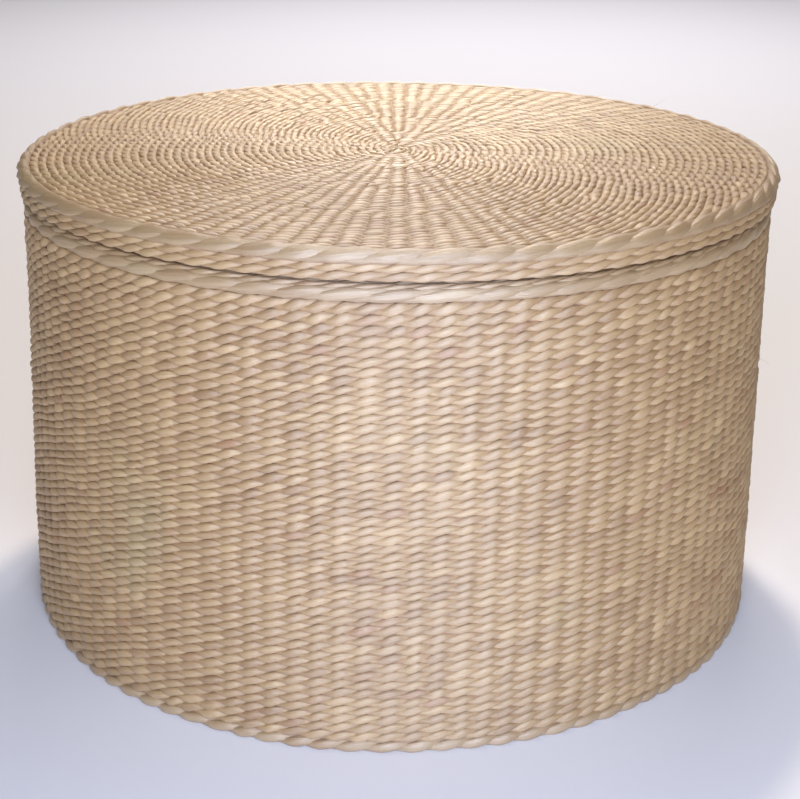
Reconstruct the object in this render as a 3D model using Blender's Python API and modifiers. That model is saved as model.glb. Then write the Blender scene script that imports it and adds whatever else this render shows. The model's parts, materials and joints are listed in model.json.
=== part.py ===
"""Round storage ottoman: twined rush over a frame of cane poles, closed by a loose lid that lifts off.

Metres, +Z up. The origin is on the floor, under the centre of the ottoman.
"""

import math

import bpy
from mathutils import Matrix

# Overall sizes
OVERALL_HEIGHT = 0.374
WALL_RADIUS = 0.299
LID_OVERHANG = 0.003
LID_EDGE_HEIGHT = 0.022

# Weave: the wall, the base, the cover of the lid, and the thick borders that finish their edges
WALL_THICKNESS = 0.008
BASE_WEAVE_THICKNESS = 0.007
BASE_WEAVE_LIFT = 0.004
BORDER_PROUD = 0.0005
BORDER_CHAMFER = 0.0022
RIM_BORDER_HEIGHT = 0.015
FOOT_BORDER_HEIGHT = 0.009
COVER_THICKNESS = 0.0075
SHOULDER_RADIUS = 0.0085
SHOULDER_STEPS = 4
LID_BORDER_HEIGHT = 0.0098
LID_BORDER_WIDTH = 0.011
LID_EDGE_WEAVE_WIDTH = 0.013
LID_EDGE_WEAVE_INSET = 0.0005

# Frame of cane poles
POLE_DIAMETER = 0.012
MIDDLE_HOOP_DIAMETER = 0.010
UPRIGHT_COUNT = 8

# Base: slats across the bottom hoop, and the board that lies on them
SLAT_COUNT = 3
SLAT_WIDTH = 0.030
SLAT_SPACING = 0.130
BASE_BOARD_THICKNESS = 0.006

# Lid: board, battens, and the ring that keeps it centred on the mouth
LID_BOARD_THICKNESS = 0.009
BATTEN_WIDTH = 0.040
BATTEN_HEIGHT = 0.015
BATTEN_SPACING = 0.220
LOCATING_RING_HEIGHT = 0.030
LOCATING_RING_THICKNESS = 0.008
LOCATING_CLEARANCE = 0.004

# Fasteners
NAIL_DIAMETER = 0.0024
NAIL_HEAD_DIAMETER = 0.005
NAIL_HEAD_THICKNESS = 0.001
NAIL_LENGTH = 0.030
SHORT_NAIL_LENGTH = 0.018
SCREW_DIAMETER = 0.004
SCREW_HEAD_DIAMETER = 0.008
SCREW_HEAD_DEPTH = 0.0024
BASE_SCREW_LENGTH = 0.015
LID_SCREW_LENGTH = 0.020
HEAD_SINK = 0.0004
SCREW_END_MARGIN = 0.060

# Clearances and smoothness
GAP = 0.0003
TURN_STEPS = 64
HOOP_SIDES = 8
POLE_SIDES = 12
FASTENER_SIDES = 8

# Levels, from the floor up
WALL_BOTTOM = FOOT_BORDER_HEIGHT + GAP
BASE_WEAVE_TOP = BASE_WEAVE_LIFT + BASE_WEAVE_THICKNESS
BOTTOM_HOOP_LOW = BASE_WEAVE_TOP + GAP
UPRIGHT_LOW = BOTTOM_HOOP_LOW + POLE_DIAMETER + GAP
BASE_BOARD_LOW = BOTTOM_HOOP_LOW + POLE_DIAMETER + GAP
BASE_BOARD_TOP = BASE_BOARD_LOW + BASE_BOARD_THICKNESS
LID_BOTTOM = OVERALL_HEIGHT - LID_EDGE_HEIGHT
RIM_TOP = LID_BOTTOM - GAP
RIM_LOW = RIM_TOP - RIM_BORDER_HEIGHT
WALL_TOP = RIM_LOW - GAP
TOP_HOOP_TOP = RIM_LOW - GAP
UPRIGHT_TOP = TOP_HOOP_TOP - POLE_DIAMETER - GAP
COVER_UNDERSIDE = OVERALL_HEIGHT - COVER_THICKNESS
LID_BORDER_LOW = OVERALL_HEIGHT - LID_BORDER_HEIGHT
LID_EDGE_WEAVE_TOP = LID_BORDER_LOW - GAP
LID_BOARD_TOP = COVER_UNDERSIDE - GAP
LID_BOARD_LOW = LID_BOARD_TOP - LID_BOARD_THICKNESS
BATTEN_TOP = LID_BOARD_LOW - GAP

# Radii, from the outside in
LID_RADIUS = WALL_RADIUS + LID_OVERHANG
BORDER_RADIUS = WALL_RADIUS + BORDER_PROUD
WALL_INSIDE = WALL_RADIUS - WALL_THICKNESS
FRAME_RADIUS = WALL_INSIDE - GAP - POLE_DIAMETER / 2
BORDER_INSIDE = FRAME_RADIUS
HOOP_INSIDE = FRAME_RADIUS - POLE_DIAMETER / 2
MIDDLE_HOOP_RADIUS = HOOP_INSIDE - GAP - MIDDLE_HOOP_DIAMETER / 2
LOCATING_RING_RADIUS = HOOP_INSIDE - LOCATING_CLEARANCE
BASE_WEAVE_RADIUS = BORDER_INSIDE - GAP
BASE_BOARD_RADIUS = HOOP_INSIDE - GAP
COVER_RADIUS = LID_RADIUS - LID_BORDER_WIDTH - GAP
LID_EDGE_RADIUS = LID_RADIUS - LID_EDGE_WEAVE_INSET
LID_BOARD_RADIUS = LID_EDGE_RADIUS - LID_EDGE_WEAVE_WIDTH - GAP
FLATNESS = math.cos(math.pi / TURN_STEPS)

# Finishes: colour, roughness, metallic
FINISHES = {
    "rush": ((0.60, 0.46, 0.28), 0.62, 0.0),
    "border_rush": ((0.66, 0.53, 0.36), 0.55, 0.0),
    "cane": ((0.52, 0.34, 0.17), 0.48, 0.0),
    "plywood": ((0.66, 0.49, 0.30), 0.65, 0.0),
    "pine": ((0.70, 0.52, 0.31), 0.60, 0.0),
    "steel": ((0.56, 0.56, 0.55), 0.35, 1.0),
}


def clear_scene():
    for obj in list(bpy.data.objects):
        bpy.data.objects.remove(obj)


def new_collection(name):
    collection = bpy.data.collections.new(name)
    bpy.context.scene.collection.children.link(collection)
    return collection


def empty(name):
    """A parent on the lid's line of travel, which is the ottoman's own axis."""
    obj = bpy.data.objects.new(name, None)
    parts.objects.link(obj)
    return obj


def adopt(obj, name, finish, parent):
    """Name a fresh object, move it to the parts, and give it a material of its own."""
    obj.name = name
    obj.parent = parent
    for collection in list(obj.users_collection):
        collection.objects.unlink(obj)
    parts.objects.link(obj)
    colour, roughness, metallic = FINISHES[finish]
    material = bpy.data.materials.new(name)
    material.use_nodes = True
    surface = material.node_tree.nodes["Principled BSDF"]
    surface.inputs["Base Color"].default_value = (*colour, 1.0)
    surface.inputs["Roughness"].default_value = roughness
    surface.inputs["Metallic"].default_value = metallic
    obj.data.materials.clear()
    obj.data.materials.append(material)
    return obj


def smooth(obj, degrees=40):
    obj.data.shade_smooth()
    obj.data.set_sharp_from_angle(angle=math.radians(degrees))


def lathe(profile, closed, steps):
    """An object whose (radius, height) profile is turned round its own Z axis."""
    mesh = bpy.data.meshes.new("profile")
    edges = [(i, i + 1) for i in range(len(profile) - 1)]
    if closed:
        edges.append((len(profile) - 1, 0))
    mesh.from_pydata([(radius, 0, height) for radius, height in profile], edges, [])
    obj = bpy.data.objects.new("turned", mesh)
    screw = obj.modifiers.new("Turn", "SCREW")
    screw.axis = "Z"
    screw.steps = steps
    screw.render_steps = steps
    screw.use_merge_vertices = True
    screw.merge_threshold = 0.00001
    screw.use_smooth_shade = True
    return obj


def turned(name, profile, finish, parent, closed=True):
    return adopt(lathe(profile, closed, TURN_STEPS), name, finish, parent)


def ring_section(outer, inner, low, top, chamfer=0.0):
    """The section of a ring, down its outer side and up its inner side."""
    if chamfer == 0:
        return [(outer, top), (outer, low), (inner, low), (inner, top)]
    return [
        (outer - chamfer, top),
        (outer, top - chamfer),
        (outer, low + chamfer),
        (outer - chamfer, low),
        (inner + chamfer, low),
        (inner, low + chamfer),
        (inner, top - chamfer),
        (inner + chamfer, top),
    ]


def disc_section(radius, low, top):
    return [(0, top), (radius, top), (radius, low), (0, low)]


def hoop(name, radius, thickness, centre_height):
    bpy.ops.mesh.primitive_torus_add(
        major_segments=TURN_STEPS,
        minor_segments=HOOP_SIDES,
        major_radius=radius,
        minor_radius=thickness / 2,
        location=(0, 0, centre_height),
    )
    obj = adopt(bpy.context.active_object, name, "cane", base)
    smooth(obj, 60)
    return obj


def bar(name, finish, parent, size, centre):
    bpy.ops.mesh.primitive_cube_add(size=1, location=centre)
    obj = bpy.context.active_object
    obj.data.transform(Matrix.Diagonal((*size, 1)))
    return adopt(obj, name, finish, parent)


def nail_profile(length, clearance=0.0):
    """Flat head at the local origin, shank down -Z. With a clearance it is the hole for the nail."""
    head = NAIL_HEAD_DIAMETER / 2 + clearance
    shank = NAIL_DIAMETER / 2 + clearance
    top = POLE_DIAMETER / 4 if clearance else 0
    under_head = -NAIL_HEAD_THICKNESS - clearance
    tip = -length - clearance
    return [(0, top), (head, top), (head, under_head), (shank, under_head), (shank, tip + shank), (0, tip)]


def screw_profile(length, clearance=0.0):
    """Countersunk head at the local origin, shank down -Z. With a clearance it is the hole."""
    head = SCREW_HEAD_DIAMETER / 2 + clearance
    shank = SCREW_DIAMETER / 2 + clearance
    top = 3 * HEAD_SINK if clearance else 0
    under_head = -SCREW_HEAD_DEPTH - clearance
    tip = -length - clearance
    return [(0, top), (head, top), (head, -clearance), (shank, under_head), (shank, tip + shank), (0, tip)]


def fasten(name, profile, length, parent, place, turn, pieces):
    """Put a nail or screw in place, and cut its hole in each of the pieces that it joins."""
    fastener = adopt(lathe(profile(length), False, FASTENER_SIDES), name, "steel", parent)
    hole = lathe(profile(length, GAP), False, FASTENER_SIDES)
    hole.name = name + "_hole"
    hole.hide_render = True
    hole.display_type = "WIRE"
    cutters.objects.link(hole)
    for obj in (fastener, hole):
        obj.location = place
        obj.rotation_euler = turn
    for piece in pieces:
        cut = piece.modifiers.new(name, "BOOLEAN")
        cut.operation = "DIFFERENCE"
        cut.solver = "EXACT"
        cut.object = hole


def polar(radius, angle, height):
    return (radius * math.cos(angle), radius * math.sin(angle), height)


def half_chord(radius, offset):
    """Half the length of a straight bar, its far edge at this offset, that fits inside a hoop."""
    return math.sqrt((radius * FLATNESS - GAP) ** 2 - offset**2)


def woven_shell():
    turned("wall_weave", ring_section(WALL_RADIUS, WALL_INSIDE, WALL_BOTTOM, WALL_TOP), "rush", base)
    rim = ring_section(BORDER_RADIUS, BORDER_INSIDE, RIM_LOW, RIM_TOP, BORDER_CHAMFER)
    foot = ring_section(BORDER_RADIUS, BORDER_INSIDE, 0, FOOT_BORDER_HEIGHT, BORDER_CHAMFER)
    turned("rim_border", rim, "border_rush", base)
    turned("foot_border", foot, "border_rush", base)
    disc = disc_section(BASE_WEAVE_RADIUS, BASE_WEAVE_LIFT, BASE_WEAVE_TOP)
    turned("base_weave", disc, "rush", base, closed=False)


def cane_frame():
    """Three hoops and the uprights between the top and the bottom one, nailed at every meeting."""
    radius = POLE_DIAMETER / 2
    top_hoop = hoop("top_hoop", FRAME_RADIUS, POLE_DIAMETER, TOP_HOOP_TOP - radius)
    bottom_hoop = hoop("bottom_hoop", FRAME_RADIUS, POLE_DIAMETER, BOTTOM_HOOP_LOW + radius)
    middle = (UPRIGHT_LOW + UPRIGHT_TOP) / 2
    middle_hoop = hoop("middle_hoop", MIDDLE_HOOP_RADIUS, MIDDLE_HOOP_DIAMETER, middle)
    for number in range(UPRIGHT_COUNT):
        angle = 2 * math.pi * number / UPRIGHT_COUNT
        bpy.ops.mesh.primitive_cylinder_add(
            vertices=POLE_SIDES,
            radius=radius,
            depth=UPRIGHT_TOP - UPRIGHT_LOW,
            location=polar(FRAME_RADIUS, angle, middle),
            rotation=(0, 0, angle),
        )
        label = str(number + 1)
        upright = adopt(bpy.context.active_object, "upright_" + label, "cane", base)
        smooth(upright)
        fasten(
            "top_nail_" + label,
            nail_profile,
            NAIL_LENGTH,
            base,
            polar(FRAME_RADIUS, angle, TOP_HOOP_TOP - HEAD_SINK),
            (0, 0, angle),
            (top_hoop, upright),
        )
        fasten(
            "bottom_nail_" + label,
            nail_profile,
            NAIL_LENGTH,
            base,
            polar(FRAME_RADIUS, angle, BOTTOM_HOOP_LOW + HEAD_SINK),
            (math.pi, 0, angle),
            (bottom_hoop, upright),
        )
        fasten(
            "middle_nail_" + label,
            nail_profile,
            SHORT_NAIL_LENGTH,
            base,
            polar(MIDDLE_HOOP_RADIUS - MIDDLE_HOOP_DIAMETER / 2 + HEAD_SINK, angle, middle),
            (0, -math.pi / 2, angle),
            (middle_hoop, upright),
        )


def base_panel():
    """Slats flush with the bottom hoop, and the board that is screwed down on them."""
    disc = disc_section(BASE_BOARD_RADIUS, BASE_BOARD_LOW, BASE_BOARD_TOP)
    board = turned("base_board", disc, "plywood", base, closed=False)
    for number in range(SLAT_COUNT):
        across = (number - (SLAT_COUNT - 1) / 2) * SLAT_SPACING
        half_length = half_chord(HOOP_INSIDE, abs(across) + SLAT_WIDTH / 2)
        slat = bar(
            "base_slat_" + str(number + 1),
            "pine",
            base,
            (2 * half_length, SLAT_WIDTH, POLE_DIAMETER),
            (0, across, BOTTOM_HOOP_LOW + POLE_DIAMETER / 2),
        )
        for end in (0, 1):
            along = (2 * end - 1) * (half_length - SCREW_END_MARGIN)
            name = "base_screw_" + str(2 * number + end + 1)
            place = (along, across, BASE_BOARD_TOP - HEAD_SINK)
            fasten(name, screw_profile, BASE_SCREW_LENGTH, base, place, (0, 0, 0), (board, slat))


def shoulder_section():
    """The section of the lid's thick border, which rounds off the edge of the seat."""
    section = [(LID_RADIUS - LID_BORDER_WIDTH, OVERALL_HEIGHT)]
    for step in range(SHOULDER_STEPS + 1):
        turn = math.pi / 2 * step / SHOULDER_STEPS
        radius = LID_RADIUS - SHOULDER_RADIUS * (1 - math.sin(turn))
        section.append((radius, OVERALL_HEIGHT - SHOULDER_RADIUS * (1 - math.cos(turn))))
    return section + [(LID_RADIUS, LID_BORDER_LOW), (LID_RADIUS - LID_BORDER_WIDTH, LID_BORDER_LOW)]


def lift_off_lid():
    cover = disc_section(COVER_RADIUS, COVER_UNDERSIDE, OVERALL_HEIGHT)
    turned("lid_cover_weave", cover, "rush", lid, closed=False)
    turned("lid_border", shoulder_section(), "border_rush", lid)
    edge_inside = LID_EDGE_RADIUS - LID_EDGE_WEAVE_WIDTH
    edge = ring_section(LID_EDGE_RADIUS, edge_inside, LID_BOTTOM, LID_EDGE_WEAVE_TOP, BORDER_CHAMFER)
    turned("lid_edge_weave", edge, "rush", lid)
    disc = disc_section(LID_BOARD_RADIUS, LID_BOARD_LOW, LID_BOARD_TOP)
    board = turned("lid_board", disc, "plywood", lid, closed=False)
    ring_inside = LOCATING_RING_RADIUS - LOCATING_RING_THICKNESS
    ring = ring_section(LOCATING_RING_RADIUS, ring_inside, BATTEN_TOP - LOCATING_RING_HEIGHT, BATTEN_TOP)
    turned("locating_ring", ring, "plywood", lid)
    for number in range(2):
        across = (number - 0.5) * BATTEN_SPACING
        half_length = half_chord(ring_inside, BATTEN_SPACING / 2 + BATTEN_WIDTH / 2)
        batten = bar(
            "lid_batten_" + str(number + 1),
            "pine",
            lid,
            (2 * half_length, BATTEN_WIDTH, BATTEN_HEIGHT),
            (0, across, BATTEN_TOP - BATTEN_HEIGHT / 2),
        )
        for end in (0, 1):
            along = (2 * end - 1) * (half_length - SCREW_END_MARGIN)
            name = "lid_screw_" + str(2 * number + end + 1)
            place = (along, across, BATTEN_TOP - BATTEN_HEIGHT + HEAD_SINK)
            fasten(name, screw_profile, LID_SCREW_LENGTH, lid, place, (math.pi, 0, 0), (batten, board))


clear_scene()
parts = new_collection("storage_ottoman")
cutters = new_collection("cutters")
base = empty("base")
lid = empty("lid_lift_axis")
woven_shell()
cane_frame()
base_panel()
lift_off_lid()
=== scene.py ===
# %% [markdown]
# # A lidded storage ottoman, twined from rush
# The real thing is a drum of hand-twined rush round a light frame of cane poles, with a loose woven lid.
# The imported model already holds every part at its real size, so this script loads it first and takes all
# places from it. What it adds is the surface: every stitch of the weave, the finish of each material,
# a camera and soft light.

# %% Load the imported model
import json
import math

import bmesh
import bpy
import numpy as np
from mathutils import Matrix, Vector

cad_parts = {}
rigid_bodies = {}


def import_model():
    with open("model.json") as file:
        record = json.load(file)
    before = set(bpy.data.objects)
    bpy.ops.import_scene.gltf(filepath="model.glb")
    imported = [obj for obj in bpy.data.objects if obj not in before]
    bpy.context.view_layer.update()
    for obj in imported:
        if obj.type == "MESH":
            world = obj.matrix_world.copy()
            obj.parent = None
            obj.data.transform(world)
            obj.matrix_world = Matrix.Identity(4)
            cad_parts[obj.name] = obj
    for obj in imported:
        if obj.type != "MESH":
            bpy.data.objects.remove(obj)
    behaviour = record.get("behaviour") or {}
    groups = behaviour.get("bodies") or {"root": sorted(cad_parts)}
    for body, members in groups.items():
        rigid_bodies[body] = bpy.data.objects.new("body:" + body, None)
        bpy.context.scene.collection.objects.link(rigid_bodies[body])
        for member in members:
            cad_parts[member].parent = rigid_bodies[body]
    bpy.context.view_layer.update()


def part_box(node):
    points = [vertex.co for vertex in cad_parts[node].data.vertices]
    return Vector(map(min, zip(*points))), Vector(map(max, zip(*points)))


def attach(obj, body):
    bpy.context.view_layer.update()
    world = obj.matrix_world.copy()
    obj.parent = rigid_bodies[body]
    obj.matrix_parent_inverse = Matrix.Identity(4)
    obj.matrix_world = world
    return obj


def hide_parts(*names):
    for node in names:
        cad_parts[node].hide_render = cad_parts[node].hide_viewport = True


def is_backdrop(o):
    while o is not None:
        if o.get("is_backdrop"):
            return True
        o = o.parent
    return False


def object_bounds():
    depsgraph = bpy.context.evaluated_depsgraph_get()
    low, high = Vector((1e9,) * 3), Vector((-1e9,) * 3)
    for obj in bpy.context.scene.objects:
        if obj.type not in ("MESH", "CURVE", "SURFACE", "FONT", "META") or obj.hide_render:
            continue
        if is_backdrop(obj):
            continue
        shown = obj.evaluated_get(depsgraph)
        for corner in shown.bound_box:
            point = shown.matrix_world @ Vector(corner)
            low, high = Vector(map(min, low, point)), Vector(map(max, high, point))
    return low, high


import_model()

# %% [markdown]
# ## Where everything is
# A round part is known by its radius and by its lowest and highest level. Both can be read from the
# box round its node, so that no size is written down twice.


# %% Read the sizes of round parts
def outer_radius(node):
    """Half the width of a round node."""
    low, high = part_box(node)
    return (high.x - low.x) / 2


def levels(node):
    """The lowest and the highest level of a node."""
    low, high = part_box(node)
    return low.z, high.z


def middle_of(node):
    low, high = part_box(node)
    return (low + high) / 2


wall_radius = outer_radius("wall_weave")
wall_low, wall_high = levels("wall_weave")
rim_low, rim_high = levels("rim_border")
foot_low, foot_high = levels("foot_border")
lid_radius = outer_radius("lid_border")
lid_edge_low, lid_edge_high = levels("lid_edge_weave")
lid_top = levels("lid_cover_weave")[1]
print(f"wall {wall_radius:.4f} m in radius, from {wall_low:.4f} to {wall_high:.4f}; lid {lid_radius:.4f}")

# %% [markdown]
# ## The camera
# The ottoman is seen from a little above its lid, from about 1.3 m away, with a short telephoto lens
# that keeps the round top calm. A camera looks down its own -Z axis, so it is turned up from straight
# down by a right angle less the pitch, and then tilted a touch, as a camera in the hand is.

# %% Place the camera
CAMERA_LENS = 72.7
CAMERA_SENSOR = 36.0
CAMERA_DISTANCE = 1.291
CAMERA_HEIGHT = 0.658
CAMERA_PITCH = math.radians(21.29)
CAMERA_YAW = math.radians(0.17)
CAMERA_ROLL = math.radians(0.65)


def added(name, data):
    """A new object of the scene, from a mesh, a light or a lens."""
    made = bpy.data.objects.new(name, data)
    bpy.context.scene.collection.objects.link(made)
    return made


lens = bpy.data.cameras.new("camera")
lens.lens = CAMERA_LENS
lens.sensor_width = CAMERA_SENSOR
camera = added("camera", lens)
camera.matrix_world = (
    Matrix.Translation((0.0, -CAMERA_DISTANCE, CAMERA_HEIGHT))
    @ Matrix.Rotation(-CAMERA_YAW, 4, "Z")
    @ Matrix.Rotation(math.pi / 2 - CAMERA_PITCH, 4, "X")
    @ Matrix.Rotation(CAMERA_ROLL, 4, "Z")
)
bpy.context.scene.camera = camera
print("the camera stands at", [round(value, 3) for value in camera.matrix_world.translation])

# %% [markdown]
# ## Writing materials as sums
# Blender's material nodes are boxes joined by wires, and a long formula soon becomes a tangle. So one
# small class stands for a wire and lets Python's own signs build the Math nodes: `1 - mask * 0.4` adds
# two of them. Every other node comes from one method, which sets the node up before it feeds it.


# %% A wire that can be added and multiplied
class Wire:
    """One output of a node. Arithmetic on it adds Math nodes to the same material."""

    def __init__(self, finish, socket):
        self.finish = finish
        self.socket = socket

    def math(self, operation, first, second):
        return self.finish.node("ShaderNodeMath", {"operation": operation}, {0: first, 1: second})

    def __add__(self, other):
        return self.math("ADD", self, other)

    def __radd__(self, other):
        return self.math("ADD", other, self)

    def __sub__(self, other):
        return self.math("SUBTRACT", self, other)

    def __rsub__(self, other):
        return self.math("SUBTRACT", other, self)

    def __mul__(self, other):
        return self.math("MULTIPLY", self, other)

    def held(self, low=0.0, high=1.0):
            return self.finish.node("ShaderNodeClamp", {}, {"Value": self, "Min": low, "Max": high})

    def rising(self, start, end):
        """0 before start, 1 after end, and a smooth rise between them."""
        settings = {"interpolation_type": "SMOOTHSTEP"}
        sockets = {"Value": self, "From Min": start, "From Max": end}
        return self.finish.node("ShaderNodeMapRange", settings, sockets)


# %% A material that is built node by node
def colour(red, green, blue):
    """A colour given as it looks on a screen, 0 to 255, turned into the light that a shader works with."""
    shares = [part / 255 for part in (red, green, blue)]
    light = [part / 12.92 if part < 0.04045 else ((part + 0.055) / 1.055) ** 2.4 for part in shares]
    return (*light, 1.0)


class Finish:
    """A material with one Principled shader, which its nodes feed."""

    def __init__(self, name, roughness=0.5, metallic=0.0, specular=0.5):
        self.material = bpy.data.materials.new(name)
        self.material.use_nodes = True
        self.tree = self.material.node_tree
        self.shader = self.tree.nodes["Principled BSDF"]
        self.shader.inputs["Roughness"].default_value = roughness
        self.shader.inputs["Metallic"].default_value = metallic
        self.shader.inputs["Specular IOR Level"].default_value = specular

    def node(self, kind, settings, sockets, output=0):
        """Add a node: first its settings, then the numbers or wires that go into it."""
        made = self.tree.nodes.new(kind)
        for name, value in settings.items():
            setattr(made, name, value)
        for name, value in sockets.items():
            self.feed(made.inputs[name], value)
        return Wire(self, made.outputs[output])

    def feed(self, socket, value):
        if isinstance(value, Wire):
            self.tree.links.new(value.socket, socket)
        else:
            socket.default_value = value

    def blend(self, share, first, second):
        """Two colours mixed: none of the second at 0, all of it at 1."""
        sockets = {"Factor": share, 6: first, 7: second}
        return self.node("ShaderNodeMix", {"data_type": "RGBA"}, sockets, output=2)

    def layer(self, name):
        """A number that the mesh itself carries, point by point."""
        return self.node("ShaderNodeAttribute", {"attribute_name": name}, {}, output=2)

    def place(self):
        return self.node("ShaderNodeTexCoord", {}, {}, output=3)

    def noise(self, place, scale, detail=2.0, roughness=0.5):
        sockets = {"Vector": place, "Scale": scale, "Detail": detail, "Roughness": roughness}
        return self.node("ShaderNodeTexNoise", {}, sockets)

    def stretched(self, place, amounts):
        """The same coordinates, squeezed by a different amount along each axis."""
        return self.node("ShaderNodeVectorMath", {"operation": "MULTIPLY"}, {0: place, 1: amounts})

    def relief(self, height, depth):
        """A surface that rises by depth where height is 1."""
        sockets = {"Height": height, "Distance": depth, "Strength": 1.0}
        return self.node("ShaderNodeBump", {}, sockets)

    def set(self, name, value):
        self.feed(self.shader.inputs[name], value)


# %% [markdown]
# ## Rush
# Rush is a marsh plant, twisted damp into a soft cord. Dry, it drifts from cream to tan from one stitch
# to the next, with fine fibres along the cord and a satin gloss. Down in the gaps the colour turns browner
# and darker: partly the rush's own tint there, partly painted shade. The mesh carries how pale each stitch
# is (tone), how brown it is stained (stain) and how far out each point lies (crown), which places the
# painted shade. The fibres are noise stretched along the cord, on a map whose units are metres.


# %% Mix the rush finishes
def rush_finish(name, pale, tan, shine):
    finish = Finish(name, specular=1.0)
    finish.set("IOR", 2.0)
    finish.set("Anisotropic", 0.5)
    finish.set("Anisotropic Rotation", 0.25)
    along = finish.node("ShaderNodeUVMap", {"uv_map": "Cord"}, {})
    place = finish.place()
    fine = finish.noise(finish.stretched(along, (55.0, 1500.0, 1.0)), 1.0, detail=3.0, roughness=0.6)
    broad = finish.noise(finish.stretched(along, (34.0, 480.0, 1.0)), 1.0, detail=3.0)
    cloud = finish.noise(place, 7.0, detail=2.0)
    tone = finish.layer("tone") + (fine - 0.5) * 0.5 + (broad - 0.5) * 0.8 + (cloud - 0.5) * 0.5
    crown = finish.layer("crown")
    body = finish.blend(tone.held(), tan, pale)
    stained = finish.blend((finish.layer("stain") * (0.55 + broad * 0.7)).held(), body, colour(164, 120, 76))
    green = finish.blend(cloud.rising(0.62, 0.80) * 0.35, stained, colour(164, 156, 112))
    # Painted shade: where crown is low, down between the cords, the colour is pulled towards a darker brown;
    # partly the rush's own tint, partly shade painted in.
    gap_tint_and_shade = finish.blend((1 - crown.rising(-0.1, 0.75)) * 0.62, green, colour(142, 98, 54))
    finish.set("Base Color", gap_tint_and_shade)
    finish.set("Roughness", (shine + (0.5 - fine) * 0.22 + (1 - crown) * 0.16).held(0.2, 0.9))
    finish.set("Normal", finish.relief(fine * 0.8 + broad, 0.0006))
    print("mixed", name, "with", len(finish.tree.nodes), "nodes")
    return finish.material


RUSH = rush_finish("rush", colour(195, 161, 112), colour(152, 113, 68), 0.60)
BORDER_RUSH = rush_finish("border_rush", colour(186, 158, 118), colour(154, 119, 78), 0.52)

# %% [markdown]
# ## Cane, board, pine and steel
# The frame inside is plainer. Cane poles are smooth and honey-coloured, with darker lines along them.
# The boards are thin plywood, whose plies show as stripes on the edge. The slats are sawn pine.


# %% Mix the finishes of the frame
def cane_finish():
    finish = Finish("cane", specular=0.6)
    along = finish.layer("along")
    across = {0: along * 22.0, 1: finish.layer("side") * 2.6, 2: finish.layer("front") * 2.6}
    streaks = finish.noise(finish.node("ShaderNodeCombineXYZ", {}, across), 1.6, detail=4.0, roughness=0.6)
    cloud = finish.noise(finish.place(), 14.0)
    knuckle = finish.layer("knuckle")
    body = finish.blend((streaks * 0.6 + cloud * 0.6).held(), colour(150, 102, 54), colour(206, 160, 100))
    finish.set("Base Color", finish.blend((knuckle * 0.8).held(), body, colour(92, 60, 32)))
    finish.set("Roughness", (0.34 + streaks * 0.2).held(0.2, 0.8))
    finish.set("Normal", finish.relief(streaks - knuckle * 0.5, 0.0002))
    return finish.material


def wood_finish(name, pale, dark, along, plies):
    """Sawn or peeled wood: growth rings warped by noise, and stripes of ply where the surface stands up."""
    finish = Finish(name, specular=0.35)
    place = finish.place()
    grain_place = finish.stretched(place, along)
    wander = finish.noise(grain_place, 1.0, detail=2.0)
    parts = finish.node("ShaderNodeSeparateXYZ", {}, {"Vector": grain_place})
    rings = finish.node("ShaderNodeMath", {"operation": "SINE"}, {0: (wander * 9.0 + parts * 4.0) * 6.28})
    fibre = finish.noise(finish.stretched(grain_place, (14.0, 14.0, 14.0)), 1.0, detail=3.0)
    grain = (rings * 0.22 + 0.5 + (fibre - 0.5) * 0.7).held()
    face = finish.blend(grain, pale, dark)
    if plies:
        upright = finish.node("ShaderNodeNewGeometry", {}, {}, output=1)
        facing_up = finish.node("ShaderNodeSeparateXYZ", {}, {"Vector": upright}, output=2)
        height = finish.node("ShaderNodeSeparateXYZ", {}, {"Vector": place}, output=2)
        stripe = finish.node("ShaderNodeMath", {"operation": "SINE"}, {0: height * (6.28 / plies)})
        edge = 1 - (facing_up * facing_up).rising(0.25, 0.5)
        layered = finish.blend(stripe.rising(-0.3, 0.3), colour(126, 88, 52), colour(208, 172, 122))
        face = finish.blend(edge, face, layered)
    finish.set("Base Color", face)
    finish.set("Roughness", (0.52 + fibre * 0.22).held(0.3, 0.9))
    finish.set("Normal", finish.relief(fibre, 0.00012))
    return finish.material


def steel_finish():
    finish = Finish("fastener_steel", metallic=1.0)
    place = finish.place()
    marks = finish.noise(place, 900.0, detail=3.0)
    finish.set("Base Color", finish.blend(marks, colour(150, 148, 142), colour(206, 204, 198)))
    finish.set("Roughness", 0.24 + marks * 0.3)
    return finish.material


PLY_THICKNESS = 0.0016
CANE = cane_finish()
PLYWOOD = wood_finish(
    "plywood", colour(222, 190, 142), colour(178, 138, 90), (11.0, 2.0, 11.0), PLY_THICKNESS
)
PINE = wood_finish("pine", colour(228, 196, 144), colour(186, 140, 86), (1.6, 16.0, 16.0), 0)
STEEL = steel_finish()
print("mixed cane, plywood, pine and steel")

# %% [markdown]
# ## Turning arrays of points into pieces
# The wall alone has over ten thousand stitches, so numpy works them out all at once. The helpers below
# hand the arrays to Blender as one mesh, with its maps and layers, and say which body the piece rides on
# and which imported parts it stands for.


# %% Make a piece from arrays
def new_piece(name, mesh, material, body, stands_for):
    piece = added(name, mesh)
    mesh.materials.append(material)
    mesh.shade_smooth()
    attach(piece, body)
    if stands_for:
        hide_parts(*stands_for)


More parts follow.
